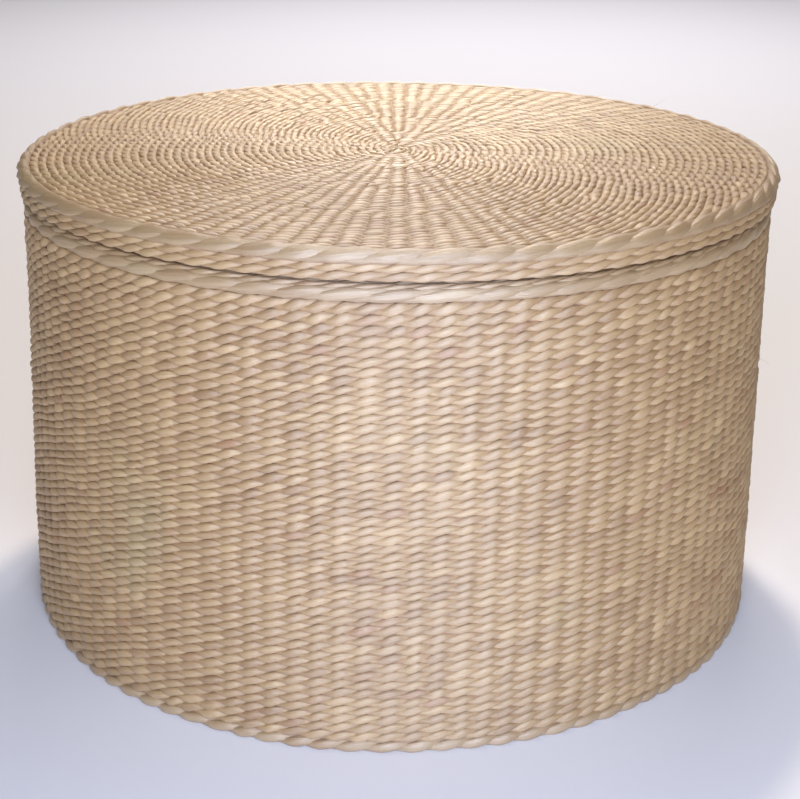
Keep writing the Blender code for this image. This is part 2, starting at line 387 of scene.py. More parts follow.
def mesh_of(name, points, faces, layers, maps):
    """A mesh of four-sided faces. layers hold a number for each point, maps a place for each corner."""
    mesh = bpy.data.meshes.new(name)
    mesh.vertices.add(len(points))
    mesh.vertices.foreach_set("co", points.astype(np.float32).ravel())
    mesh.loops.add(faces.size)
    mesh.loops.foreach_set("vertex_index", faces.astype(np.int32).ravel())
    mesh.polygons.add(len(faces))
    mesh.polygons.foreach_set("loop_start", np.arange(0, faces.size, 4, dtype=np.int32))
    for title, values in maps.items():
        layer = mesh.uv_layers.new(name=title)
        layer.uv.foreach_set("vector", values.astype(np.float32).ravel())
    for title, values in layers.items():
        layer = mesh.attributes.new(title, "FLOAT", "POINT")
        layer.data.foreach_set("value", values.astype(np.float32).ravel())
    mesh.update(calc_edges=True)
    mesh.validate()
    return mesh


def tube_faces(length, sides, first=0, closed=True):
    """The faces of a tube of rings of points, numbered from first. A closed tube meets its own start."""
    ring = np.arange(length if closed else length - 1)[:, None]
    side = np.arange(sides)[None, :]
    here, there = ring * sides, ((ring + 1) % length) * sides
    beside = (side + 1) % sides
    corners = [here + side, there + side, there + beside, here + beside]
    return first + np.stack(np.broadcast_arrays(*corners), axis=-1).reshape(-1, 4)


# %% [markdown]
# ## Twining, stitch by stitch
# In two-strand twining the weaver passes two cords round the upright stakes and crosses them after each
# one, so every row is a pair of cords twisted round each other. A row is modelled as just that: two
# closed cords whose path swings out over one stake and in behind the next, while it climbs from the
# lower edge of the row to the upper. That climb makes the slant of the stitches, and because every row
# crosses between the same stakes, the stitches line up in columns.
#
# The hand shows in small changes. Each stitch has its own fullness, colour and reach, the rows wander a
# little, and the stakes are not quite evenly spaced.

# %% Describe a row
STITCH_STEPS = np.array([-0.5, -0.40, -0.28, -0.14, 0.0, 0.14, 0.28, 0.40])
CORD_SIDES = 10
PLUMPNESS = 0.60
SEEN_BULGE = 0.20
SLIP_SPREAD = 0.035
WIDTH_SPREAD = 0.05
REACH_SPREAD = 0.0002
TONE_SPREAD = 0.11
STAIN_CHANCE = 0.028
TURN = 2 * math.pi


def wave(angle, terms):
    """A smooth closed ripple round the ottoman, from (size, how many waves, where it starts)."""
    return sum(size * np.sin(count * angle + start) for size, count, start in terms)


def straight(angle):
    return np.zeros_like(angle)


class Row:
    """One row of twining.

    facing is where its outside looks: 0 outwards, a quarter turn up, minus a quarter turn down. climb is
    how far each cord rises and falls, and tip and crown are half its width where the two cross and where
    it is fullest, all as shares of the row's height.
    """

    climb = 0.235
    tip = 0.285
    crown = 0.52

    def __init__(self, radius, height, pitch, stitches, facing=0.0, depth=0.0010, thick=0.0021):
        self.radius = radius
        self.height = height
        self.pitch = pitch
        self.stitches = stitches
        self.facing = facing
        self.depth = depth
        self.thick = thick
        self.near_edge = straight
        self.far_edge = straight
        self.unevenness = 1.0


def stake_angle(place, stitches, level):
    """Where a stake stands, in radians. Its spacing varies a little, and leans with the level."""
    angle = TURN * place / stitches
    spacing = TURN / stitches
    lean = 2.2 * level
    terms = [(0.10, 5, 0.4 + lean), (0.05, 13, 1.9 - lean), (0.03, 29, 2.7 + lean)]
    return angle + spacing * wave(angle, terms)


# %% Lay the two cords of a row
def cord_points(row, strand, draw, shape):
    """The rings of points of one cord of a row, with the tone, stain and crown of each."""
    count = row.stitches
    stitch = np.arange(count)[:, None]
    step = STITCH_STEPS[None, :]
    slip = draw["slip"]
    place = stitch + step + slip[:, None] * (0.5 - step) + np.roll(slip, -1)[:, None] * (0.5 + step)
    angle = stake_angle(place, count, row.height)
    phase = math.pi * (stitch + step + strand)
    swing, climb = np.cos(phase), np.sin(phase)
    edge = np.isclose(step, -0.5)

    def each(values):
        """A value for every stitch, halfway to the last one's where the two meet."""
        return np.where(edge, (values + np.roll(values, 1))[:, None] / 2, values[:, None])

    uneven = row.unevenness
    width = each(1 + uneven * draw["width"][strand])
    reach = each(uneven * draw["reach"][strand])
    near, far = row.near_edge(angle), row.far_edge(angle)
    pitch = row.pitch + far - near
    out = row.depth * np.tanh(0.9 * swing) / math.tanh(0.9) + reach * np.maximum(swing, 0)
    across = row.climb * pitch * climb + (near + far) / 2
    half_across = pitch * width * (row.tip + (row.crown - row.tip) * np.abs(swing) ** 1.3)
    turn = math.pi / 2 + TURN * np.arange(CORD_SIDES) / CORD_SIDES
    round_out = np.sign(np.cos(turn)) * np.abs(np.cos(turn)) ** PLUMPNESS
    round_across = np.sin(turn)
    bulge = 1 + SEEN_BULGE * np.tanh(2 * swing)[..., None] * np.tanh(3 * round_out)
    out = out[..., None] + row.thick * bulge * round_out
    across = across[..., None] + half_across[..., None] * round_across
    wide, tall = math.cos(row.facing), math.sin(row.facing)
    radius = row.radius + out * wide - across * tall
    height = row.height + out * tall + across * wide
    angle = angle[..., None] + 0 * out
    radius, height, aside = shape(angle, radius, height)
    points = np.stack([radius * np.cos(angle) + aside, radius * np.sin(angle), height], axis=-1)
    tone = each(draw["tone"][strand])
    stain = each(draw["stain"][strand])
    crown = np.abs(out) / (row.depth + row.thick)
    flat = np.ones(CORD_SIDES)
    layers = {"tone": tone[..., None] * flat, "stain": stain[..., None] * flat, "crown": crown}
    return points.reshape(-1, 3), {title: values.ravel() for title, values in layers.items()}


def draw_stitches(generator, row):
    """The chance part of a row: what its hand-made stitches do that even ones wouldn't."""
    count = row.stitches
    angle = TURN * np.arange(count) / count
    drift = [wave(angle, [(0.07, k, generator.uniform(0, TURN)) for k in (3, 7, 11)]) for _ in range(2)]
    row_tone = generator.normal(0.52, 0.03)
    stains = generator.random((2, count)) < STAIN_CHANCE
    return {
        "slip": generator.normal(0, SLIP_SPREAD * row.unevenness, count),
        "width": generator.normal(0, WIDTH_SPREAD, (2, count)),
        "reach": generator.normal(0, REACH_SPREAD, (2, count)),
        "tone": row_tone + np.array(drift) + generator.normal(0, TONE_SPREAD * row.unevenness, (2, count)),
        "stain": stains * generator.uniform(0.2, 0.9, (2, count)) * row.unevenness**2,
    }


def twined_piece(name, rows, shape, material, body, stands_for, seed):
    """One piece of weave from its rows."""
    generator = np.random.default_rng(seed)
    points, faces, layers, cords = [], [], {"tone": [], "stain": [], "crown": []}, []
    start = 0
    for row in rows:
        draw = draw_stitches(generator, row)
        for strand in (0, 1):
            cord, carried = cord_points(row, strand, draw, shape)
            rings = len(cord) // CORD_SIDES
            points.append(cord)
            faces.append(tube_faces(rings, CORD_SIDES, start))
            for title, values in carried.items():
                layers[title].append(values)
            cords.append((rings, TURN * row.radius, 2.4 * row.pitch, generator.uniform(0, 50)))
            start += len(cord)
    layers = {title: np.concatenate(values) for title, values in layers.items()}
    maps = {"OFBake": bake_map(cords), "Cord": cord_map(cords)}
    mesh = mesh_of(name, np.concatenate(points), np.concatenate(faces), layers, maps)
    new_piece(name, mesh, material, body, stands_for)
    print(f"{name}: {len(rows)} rows, {2 * len(mesh.polygons)} triangles")


# %% [markdown]
# ## Two maps for a cord
# One map has metres as its units and runs along the cord, for the fibres. The other lays all the cords
# of a piece side by side in a square, each folded into a few lengths, for a baked picture.

# %% Map the cords
FOLDS = 4
FOLD_MARGIN = 0.06


def corners(ring, side):
    """The ring and side of the four corners of each face, in the order that tube_faces gives them."""
    ring, side = ring[:, None] + np.array([[0, 1, 1, 0]]), side[:, None] + np.array([[0, 0, 1, 1]])
    return ring, side


def cord_map(cords):
    found = []
    for rings, length, girth, offset in cords:
        ring, side = np.divmod(np.arange(rings * CORD_SIDES), CORD_SIDES)
        ring, side = corners(ring, side)
        found.append(np.stack([offset + ring * length / rings, side * girth / CORD_SIDES], axis=-1))
    return np.concatenate(found).reshape(-1, 2)


def bake_map(cords):
    fold = math.ceil(max(rings for rings, *_ in cords) / FOLDS)
    lanes = sum(math.ceil(rings / fold) for rings, *_ in cords)
    found, lane = [], 0
    for rings, *_ in cords:
        ring, side = np.divmod(np.arange(rings * CORD_SIDES), CORD_SIDES)
        own_lane, ring = lane + ring // fold, ring % fold
        ring, side = corners(ring, side)
        share = FOLD_MARGIN + side / CORD_SIDES * (1 - 2 * FOLD_MARGIN)
        found.append(np.stack([ring / fold, (own_lane[:, None] + share) / lanes], axis=-1))
        lane += math.ceil(rings / fold)
    return np.concatenate(found).reshape(-1, 2)


# %% [markdown]
# ## The wall
# Forty-eight rows rise from the foot to the rim, each over the same 112 stakes. A basket this size is
# never a true cylinder: it spreads a little towards the foot and stands slightly off centre. That shape
# is a function that every row of the body passes through. A large weave is made in bands, because one
# mesh of nearly a million faces is hard to handle.

# %% Twine the wall
STAKES = 112
WALL_ROWS = 48
WALL_UNEVENNESS = 1.3
ROWS_PER_BAND = 5
CORD_REACH = 0.0040
FOOT_SPREAD = 0.0052
SIDE_SPREAD = 0.0018
FOOT_SHIFT = -0.0022


def body_shape(angle, radius, height):
    """Where a point of a true cylinder lies on the soft body: its radius, level and shift to the side."""
    depth = np.clip(1 - height / rim_high, 0, 1)
    settled = depth * depth * (3 - 2 * depth)
    spread = (FOOT_SPREAD + SIDE_SPREAD * np.cos(angle) ** 2) * settled
    ripple = wave(angle, [(0.0006, 3, 1.1), (0.0004, 5, 4.0), (0.0003, 11, 2.2)])
    return radius + spread + ripple * depth, height, FOOT_SHIFT * settled


def row_line(edge, angle, rows, seed):
    """How far the line between two rows strays from level. The first and last lines don't."""
    calm = np.sin(math.pi * np.clip(edge / rows, 0, 1)) ** 0.5
    drift = 0.31 * edge + seed
    slow = [(0.0009, 2, drift), (0.0006, 5, 1.1 - drift)]
    quick = [(0.0004, 9, 2.0 + 1.7 * drift), (0.00022, 17, 2.1 * drift)]
    return calm * wave(angle, slow + quick)


def wandering(row, index, rows, seed):
    """Let the two edges of a row stray, so that it stays in step with its neighbours."""
    row.near_edge = lambda angle: row_line(index, angle, rows, seed)
    row.far_edge = lambda angle: row_line(index + 1, angle, rows, seed)
    return row


def bands_of(rows):
    """The rows in groups, with no more stitches in a group than in a band of the wall."""
    bands, count = [[]], 0
    for row in rows:
        if count + row.stitches > ROWS_PER_BAND * STAKES:
            bands.append([])
            count = 0
        bands[-1].append(row)
        count += row.stitches
    return bands


def twined_bands(label, rows, shape, body, node, seed):
    """A large weave in several pieces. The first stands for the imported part."""
    for band, group in enumerate(bands_of(rows), start=1):
        stands_for = [node] if band == 1 else []
        twined_piece(f"{label}_band_{band}", group, shape, RUSH, body, stands_for, seed + band)


def wall_pitches():
    """The height of each row from the foot up: fuller at both ends than in the middle."""
    share = (np.arange(WALL_ROWS) + 0.5) / WALL_ROWS
    generator = np.random.default_rng(7)
    pitches = 1 + 0.12 * (2 * share - 1) ** 2 + generator.normal(0, 0.035, WALL_ROWS)
    return pitches * (wall_high - wall_low) / pitches.sum()


pitches = wall_pitches()
edges = wall_low + np.concatenate([[0], np.cumsum(pitches)])
wall_rows = [
    wandering(Row(wall_radius - CORD_REACH, (low + high) / 2, high - low, STAKES), index, WALL_ROWS, 0.0)
    for index, (low, high) in enumerate(zip(edges, edges[1:]))
]
for row in wall_rows:
    row.unevenness = WALL_UNEVENNESS
twined_bands("wall", wall_rows, body_shape, "base", "wall_weave", 100)

# %% [markdown]
# ## The rim and the foot
# The wall ends in a thick border, where the stakes are turned down and wrapped in long, nearly level
# turns, with one thin row of twining above it. The foot is a row of the same kind, pressed flat by the
# weight. Each has a second row behind it, which covers the hoop or the turned-in stakes.

# %% Twine the rim and the foot
BORDER_STITCHES = 60
EDGE_STITCHES = 96
THIN_ROW = 0.0050
WRAP_CLIMB = 0.15
WRAP_TIP = 0.34
WRAP_CROWN = 0.48
WRAP_UNEVENNESS = 0.6
WRAP_INSET = 0.0044
THIN_ROW_INSET = 0.0058
THIN_ROW_DROP = 0.0018
THIN_ROW_SAG = 0.0007
BACKING_INSET = 0.0110
BACKING_LIFT = 0.0068
BACKING_HEIGHT = 0.0115
FOOT_STITCHES = 88
FOOT_HEIGHT = 0.0088
FOOT_LIFT = 0.0006
SOLE_INSET = 0.0125
SOLE_WIDTH = 0.0080


def wrapped(row):
    """A row whose long stitches lie nearly level."""
    row.climb, row.tip, row.crown = WRAP_CLIMB, WRAP_TIP, WRAP_CROWN
    return row


border_height = rim_high - THIN_ROW - rim_low
border_middle = rim_low + border_height / 2
thin_middle = rim_high - THIN_ROW / 2 - THIN_ROW_DROP
wrap_radius = wall_radius - WRAP_INSET
rim_wrap = wrapped(Row(wrap_radius, border_middle, border_height, BORDER_STITCHES, 0, 0.0004, 0.0030))
rim_edge = Row(wall_radius - THIN_ROW_INSET, thin_middle, THIN_ROW, EDGE_STITCHES, 0, 0.0010, 0.0018)
rim_edge.far_edge = lambda angle: -THIN_ROW_SAG * (1 + np.cos(angle + 0.6))
backing_radius, backing_middle = wall_radius - BACKING_INSET, rim_low + BACKING_LIFT
rim_backing = Row(backing_radius, backing_middle, BACKING_HEIGHT, BORDER_STITCHES, math.pi, 0.0016, 0.0016)
rim_rows = [rim_wrap, rim_edge, rim_backing]

foot_middle = (foot_low + foot_high) / 2 + FOOT_LIFT
foot_wrap = wrapped(Row(wrap_radius, foot_middle, FOOT_HEIGHT, FOOT_STITCHES, 0, 0.0014, 0.0025))
foot_sole = Row(wall_radius - SOLE_INSET, foot_middle, SOLE_WIDTH, FOOT_STITCHES, -math.pi / 2, 0.0020, 0.0016)
foot_rows = [foot_wrap, foot_sole]
for row in rim_rows + foot_rows:
    row.unevenness = WRAP_UNEVENNESS
twined_piece("rim_of_rush", rim_rows, body_shape, BORDER_RUSH, "base", ["rim_border"], 31)
twined_piece("foot_of_rush", foot_rows, body_shape, BORDER_RUSH, "base", ["foot_border"], 32)

# %% [markdown]
# ## The lid
# The lid's cover is twined flat, from the middle out, in forty-five rings. As the rings grow, the weaver
# adds stakes, so the stitches keep their length. At the edge a thick wrapped border turns the shoulder,
# and two thin rows run down to the gap.

# %% Twine the cover and the edge of the lid
COVER_PITCH = 0.0065
COVER_START = 0.0022
COVER_OVERLAP = 0.0010
COVER_DROP = 0.0036
COVER_CROWN = 0.54
COVER_UNEVENNESS = 1.5
SHOULDER_INSET = 0.0058
SHOULDER_DROP = 0.0053
SHOULDER_HEIGHT = 0.0112
SHOULDER_STITCHES = 64
SHOULDER_FACING = math.radians(40)
EDGE_INSET = 0.0052
EDGE_LIFT = 0.0006
UNDER_INSET = 0.0120
UNDER_LIFT = 0.0026
UNDER_WIDTH = 0.0066
LID_SHIFT = 0.0007
STAKE_STEPS = [(0.016, 8), (0.034, 14), (0.068, 28), (0.125, 56), (0.200, 84), (1.0, STAKES)]


def lid_shape(angle, radius, height):
    """The lid is a little out of round, not quite flat, and sits slightly to one side."""
    share = radius / lid_radius
    ripple = share**3 * wave(angle, [(0.0005, 2, 0.6), (0.0004, 5, 3.3)])
    lift = share * wave(angle, [(0.00025, 3, 2.0), (0.00015, 7, 0.5)])
    return radius + ripple, height + lift - 0.0006 * share**4, LID_SHIFT


def stakes_at(radius):
    return next(count for limit, count in STAKE_STEPS if radius < limit)


cover_edge = outer_radius("lid_cover_weave") + COVER_OVERLAP
ring_count = round((cover_edge - COVER_START) / COVER_PITCH)
ring_pitch = (cover_edge - COVER_START) / ring_count
cover_rows = []
for index in range(ring_count):
    radius = COVER_START + (index + 0.5) * ring_pitch
    row = Row(radius, lid_top - COVER_DROP, ring_pitch, stakes_at(radius), math.pi / 2, 0.0007, 0.0021)
    row.crown = COVER_CROWN
    row.unevenness = COVER_UNEVENNESS
    wandering(row, ring_count - 1 - index, ring_count, 3.0)
    cover_rows.append(row)
twined_bands("lid_cover", cover_rows, lid_shape, "lid", "lid_cover_weave", 40)

radius, level = lid_radius - SHOULDER_INSET, lid_top - SHOULDER_DROP
shoulder = wrapped(Row(radius, level, SHOULDER_HEIGHT, SHOULDER_STITCHES, SHOULDER_FACING, 0.0004, 0.0034))
edge_pitch = (lid_edge_high - lid_edge_low) / 2
edge_radius, edge_start = lid_radius - EDGE_INSET, lid_edge_low + EDGE_LIFT
edge_rows = [
    Row(edge_radius, edge_start + (index + 0.5) * edge_pitch, edge_pitch, EDGE_STITCHES) for index in (0, 1)
]
radius, level = lid_radius - UNDER_INSET, lid_edge_low + UNDER_LIFT
under_row = Row(radius, level, UNDER_WIDTH, EDGE_STITCHES, -math.pi / 2, 0.0016, 0.0014)
for row in [shoulder, under_row] + edge_rows:
    row.unevenness = WRAP_UNEVENNESS
twined_piece("lid_shoulder", [shoulder], lid_shape, BORDER_RUSH, "lid", ["lid_border"], 51)
twined_piece("lid_edge", edge_rows + [under_row], lid_shape, RUSH, "lid", ["lid_edge_weave"], 52)

# %% [markdown]
# ## A knot and a few loose fibres
# The twining of the lid starts from a small knot, and a rush basket always sheds a few fibres. Both are
# thin tubes that follow a curve. The two directions across a short curve can come from the curve itself:
# its direction crossed with a fixed one, and crossed again.


# %% Sweep a tube along a path
def across_path(path, upward):
    """Two directions at right angles to a path, for every point of it."""
    along = np.gradient(path, axis=0)
    along /= np.linalg.norm(along, axis=1, keepdims=True)
    side = np.cross(along, np.asarray(upward, float))
    side /= np.linalg.norm(side, axis=1, keepdims=True)
    return side, np.cross(side, along)


def swept_points(path, side, front, radii, sides):
    """A ring of points round every point of the path."""
    turn = TURN * np.arange(sides) / sides
    across = side[:, None, :] * np.cos(turn)[:, None] + front[:, None, :] * np.sin(turn)[:, None]
    return (path[:, None, :] + across * radii[:, None, None]).reshape(-1, 3)


def rush_strands(name, strands, sides, body):
    """Loose strands of rush as one piece. Each strand is (path, radii, upward)."""
    points, faces, places = [], [], []
    start = 0
    for path, radii, upward in strands:
        side, front = across_path(path, upward)
        points.append(swept_points(path, side, front, radii, sides))
        faces.append(tube_faces(len(path), sides, start, closed=False))
        ring, flank = np.divmod(np.arange((len(path) - 1) * sides), sides)
        ring, flank = corners(ring, flank)
        step = np.linalg.norm(np.diff(path, axis=0), axis=1).mean()
        round_it = flank * TURN * radii.max() / sides
        places.append(np.stack([ring * step + 0.37 * len(places), round_it], axis=-1))
        start += len(path) * sides
    points = np.concatenate(points)
    even = np.ones(len(points))
    layers = {"tone": 0.55 * even, "stain": 0.0 * even, "crown": even}
    maps = {"Cord": np.concatenate(places).reshape(-1, 2)}
    mesh = mesh_of(name, points, np.concatenate(faces), layers, maps)
    new_piece(name, mesh, RUSH, body, [])
    print(f"{name}: {len(strands)} strands")


# %% Tie the knot in the middle of the lid
KNOT_SIZE = 0.00085
KNOT_CORD = 0.0011
KNOT_STEPS = 73

turn = np.linspace(0, TURN, KNOT_STEPS)
knot_path = KNOT_SIZE * np.stack(
    [
        (2 + np.cos(3 * turn)) * np.cos(2 * turn) + LID_SHIFT / KNOT_SIZE,
        (2 + np.cos(3 * turn)) * np.sin(2 * turn),
        0.9 * np.sin(3 * turn) + (lid_top - 0.0018) / KNOT_SIZE,
    ],
    axis=-1,
)
rush_strands("lid_knot", [(knot_path, np.full(KNOT_STEPS, KNOT_CORD), (0.0, 0.0, 1.0))], 10, "lid")

# %% Let a few fibres stray
FIBRE_RADIUS = 0.00014
FIBRE_STEPS = 14


def fibre(start, direction, length, droop):
    """A thin strand that leaves the weave in one direction and bends over."""
    share = np.linspace(0, 1, FIBRE_STEPS)[:, None]
    direction = np.asarray(direction, float) / np.linalg.norm(direction)
    path = np.asarray(start, float) + length * (share * direction + share**2 * np.array([0, 0, -droop]))
    radii = FIBRE_RADIUS * (1 - 0.8 * share[:, 0])
    return path, radii, (0.13, 0.21, 0.97)


def scattered_fibres(count, seed):
    """Fibres at chance places on the wall, each leaning along the row that it came from."""
    generator = np.random.default_rng(seed)
    found = []
    for _ in range(count):
        angle = generator.uniform(0, TURN)
        outward = np.array([math.cos(angle), math.sin(angle), 0.0])
        sideways = np.array([-math.sin(angle), math.cos(angle), 0.0])
        start = (wall_radius - 0.0006) * outward + [0, 0, generator.uniform(0.05, wall_high)]
        lean = generator.uniform(0.8, 2.2) * generator.choice([-1, 1])
        direction = outward * 0.5 + sideways * lean + [0, 0, generator.uniform(-0.4, 0.5)]
        found.append(fibre(start, direction, generator.uniform(0.006, 0.016), generator.uniform(-0.1, 0.3)))
    return found


wall_fibres = scattered_fibres(36, 61) + [fibre((0.2985, -0.02, 0.205), (1, 0.1, -0.35), 0.016, 0.2)]
lid_fibres = [
    fibre((0.232, 0.189, 0.3715), (0.9, 0.2, 0.45), 0.015, -0.1),
    fibre((-0.19, -0.2275, 0.356), (-0.6, -0.5, 0.35), 0.010, 0.1),
    fibre((0.06, -0.2925, 0.358), (0.8, -0.25, -0.2), 0.009, 0.2),
]
rush_strands("body_fibres", wall_fibres, 5, "base")
rush_strands("lid_fibres", lid_fibres, 5, "lid")

# %% [markdown]
# ## The base
# Under the ottoman the weave goes on as a flat disc, coarser than the lid, because nobody sees it. It is
# twined the same way, facing down.

# %% Twine the base
BASE_PITCH = 0.0105
BASE_STAKE_STEPS = [(0.040, 10), (0.090, 24), (1.0, 56)]

base_low, base_high = levels("base_weave")
base_edge = outer_radius("base_weave")
base_count = round(base_edge / BASE_PITCH)
base_rows = []
for index in range(base_count):
    radius = (index + 0.62) * base_edge / (base_count + 0.12)
    stitches = next(count for limit, count in BASE_STAKE_STEPS if radius < limit)
    row = Row(radius, (base_low + base_high) / 2, base_edge / base_count, stitches, -math.pi / 2)
    base_rows.append(row)


def flat(angle, radius, height):
    """The base is held flat by its slats, and keeps to its place."""
    return radius, height, 0.0


twined_bands("base", base_rows, flat, "base", "base_weave", 70)

# %% [markdown]
# ## The cane frame
# Three hoops and eight uprights of peeled cane hold the drum round. A pole is a tube swept along its
# path, but cane has knuckles, where leaves grew: a low ridge with a dark line. So the rings of the tube
# are set close together at each knuckle and wide apart between them.

# %% Bend and cut the cane
POLE_SIDES = 18
KNUCKLE_SPACING = 0.145
KNUCKLE_RIDGE = 0.030
KNUCKLE_WIDTH = 0.0022
RING_SPACING = 0.008
PEELED = 0.985
HOOP_GAP = 0.0006
POLE_CLEARANCE = 0.0003


def stations(length, seed):
    """Where the rings and the knuckles of a pole lie, measured along it."""
    generator = np.random.default_rng(seed)
    count = max(1, round(length / KNUCKLE_SPACING))
    knuckles = (np.arange(count) + 0.5 + generator.uniform(-0.22, 0.22, count)) * length / count
    near = np.array([-3.0, -2.0, -1.3, -0.7, 0.0, 0.7, 1.3, 2.0, 3.0]) * KNUCKLE_WIDTH
    even = np.linspace(0, length, 2 + round(length / RING_SPACING))
    rings = np.concatenate([even, (knuckles[:, None] + near).ravel()])
    return np.unique(rings.round(5)), knuckles


def cane_pole(name, node, path_at, length, radius, seed):
    """path_at gives, for distances along the pole, its middle and two directions across it."""
    along, knuckles = stations(length, seed)
    path, side, front = path_at(along)
    ridge = np.exp(-(((along[:, None] - knuckles) / KNUCKLE_WIDTH) ** 2)).sum(axis=1)
    line = np.exp(-(((along[:, None] - knuckles) / (0.4 * KNUCKLE_WIDTH)) ** 2)).sum(axis=1)
    swell = np.random.default_rng(seed + 1).normal(0, 0.004, len(along))
    radii = radius * PEELED * (1 + KNUCKLE_RIDGE * ridge - 0.02 * line + swell * (ridge < 0.01))
    radii[[0, -1]] *= 0.02
    path = np.concatenate([path[:1], path, path[-1:]])
    side, front = np.concatenate([side[:1], side, side[-1:]]), np.concatenate([front[:1], front, front[-1:]])
    radii = np.concatenate([radii[:1], radii[1:2], radii[1:-1], radii[-2:-1], radii[-1:]])
    along, line = np.pad(along, 1, "edge"), np.pad(line, 1, "edge")
    turn = np.tile(TURN * np.arange(POLE_SIDES) / POLE_SIDES, len(along))
    layers = {
        "along": np.repeat(along, POLE_SIDES),
        "knuckle": np.repeat(line, POLE_SIDES),
        "side": np.cos(turn),
        "front": np.sin(turn),
    }
    points = swept_points(path, side, front, radii, POLE_SIDES)
    mesh = mesh_of(name, points, tube_faces(len(along), POLE_SIDES, closed=False), layers, {})
    new_piece(name, mesh, CANE, "base", [node])
    mesh.set_sharp_from_angle(angle=math.radians(50))


def hoop_path(ring_radius, height, start):
    """A path round the ottoman, which starts and ends at the joint of the hoop."""

    def path_at(along):
        angle = start + along / ring_radius
        outward = np.stack([np.cos(angle), np.sin(angle), 0 * angle], axis=-1)
        upward = np.zeros_like(outward) + [0, 0, 1]
        return outward * ring_radius + upward * height, outward, upward

    return path_at


def upright_path(foot, angle):
    """A path straight up from the foot of an upright."""

    def path_at(along):
        outward = np.zeros((len(along), 3)) + [math.cos(angle), math.sin(angle), 0]
        sideways = np.zeros((len(along), 3)) + [-math.sin(angle), math.cos(angle), 0]
        return np.asarray(foot) + along[:, None] * np.array([0, 0, 1.0]), outward, sideways

    return path_at


for number, node in enumerate(["top_hoop", "middle_hoop", "bottom_hoop"]):
    low, high = levels(node)
    thickness = high - low
    ring_radius = outer_radius(node) - thickness / 2
    path_at = hoop_path(ring_radius, (low + high) / 2, 1.1 + 1.9 * number)
    cane_pole(node + "_cane", node, path_at, TURN * ring_radius - HOOP_GAP, thickness / 2, 80 + number)
upright_radius = (outer_radius("top_hoop") - outer_radius("middle_hoop") - POLE_CLEARANCE) / 2
for number in range(1, 9):
    node = f"upright_{number}"
    middle, (low, high) = middle_of(node), levels(node)
    path_at = upright_path((middle.x, middle.y, low), math.atan2(middle.y, middle.x))
    cane_pole(f"upright_cane_{number}", node, path_at, high - low, upright_radius, 90 + number)
print("bent three hoops and cut eight uprights")

# %% [markdown]
# ## Boards, slats and battens
# The boards are discs turned on their edge, and the locating ring is a bent strip. Each is a profile
# spun round the middle line, with its sharp edges eased. The slats and battens are planed strips: a
# block stretched to the box of its part, with planed corners and a trace of bow.


# %% Spin a profile
def finished_mesh(name, shape):
    mesh = bpy.data.meshes.new(name)
    shape.to_mesh(mesh)
    shape.free()
    return mesh


def spun_mesh(name, profile, steps, closed):
    """A mesh of revolution round the Z axis from (radius, height) points."""
    shape = bmesh.new()
    verts = [shape.verts.new((radius, 0.0, height)) for radius, height in profile]
    pairs = list(zip(verts, verts[1:])) + ([(verts[-1], verts[0])] if closed else [])
    edges = [shape.edges.new(pair) for pair in pairs]
    bmesh.ops.spin(
        shape, geom=verts + edges, axis=(0, 0, 1), cent=(0, 0, 0), angle=TURN, steps=steps, use_merge=True
    )
    bmesh.ops.remove_doubles(shape, verts=shape.verts, dist=0.00002)
    bmesh.ops.recalc_face_normals(shape, faces=shape.faces)
    return finished_mesh(name, shape)


def eased(radius, height, outward, upward, ease):
    """The four points of a rounded corner, from its flat side to its upright side."""
    found = []
    for step in range(4):
        turn = math.pi / 2 * step / 3
        inset, drop = ease * (1 - math.sin(turn)), ease * (1 - math.cos(turn))
        found.append((radius - outward * inset, height - upward * drop))
    return found


def sharp_shading(mesh):
    mesh.set_sharp_from_angle(angle=math.radians(35))


# %% Turn the boards and bend the locating ring
BOARD_EASE = 0.0007
BOARD_STEPS = 180
RING_EASE = 0.0020
RING_THICKNESS = 0.008


def turned_board(name, node, body):
    radius, (low, high) = outer_radius(node), levels(node)
    top = [(0.0, high), (radius / 2, high)] + eased(radius, high, 1, 1, BOARD_EASE)
    bottom = eased(radius, low, 1, -1, BOARD_EASE)[::-1] + [(radius / 2, low), (0.0, low)]
    mesh = spun_mesh(name, top + bottom, BOARD_STEPS, closed=False)
    new_piece(name, mesh, PLYWOOD, body, [node])
    sharp_shading(mesh)


turned_board("base_panel", "base_board", "base")
turned_board("lid_panel", "lid_board", "lid")

ring_outside = outer_radius("locating_ring")
ring_low, ring_high = levels("locating_ring")
ring_inside = ring_outside - RING_THICKNESS
ring_profile = (
    eased(ring_outside, ring_high, 1, 1, BOARD_EASE)
    + eased(ring_outside, ring_low, 1, -1, RING_EASE)[::-1]
    + eased(ring_inside, ring_low, -1, -1, RING_EASE)
    + eased(ring_inside, ring_high, -1, 1, BOARD_EASE)[::-1]
)
ring_mesh = spun_mesh("bent_ring", ring_profile, BOARD_STEPS, closed=True)
new_piece("bent_ring", ring_mesh, PLYWOOD, "lid", ["locating_ring"])
sharp_shading(ring_mesh)


# %% Plane the slats and battens
PLANK_EASE = 0.0012
PLANK_BOW = 0.0002


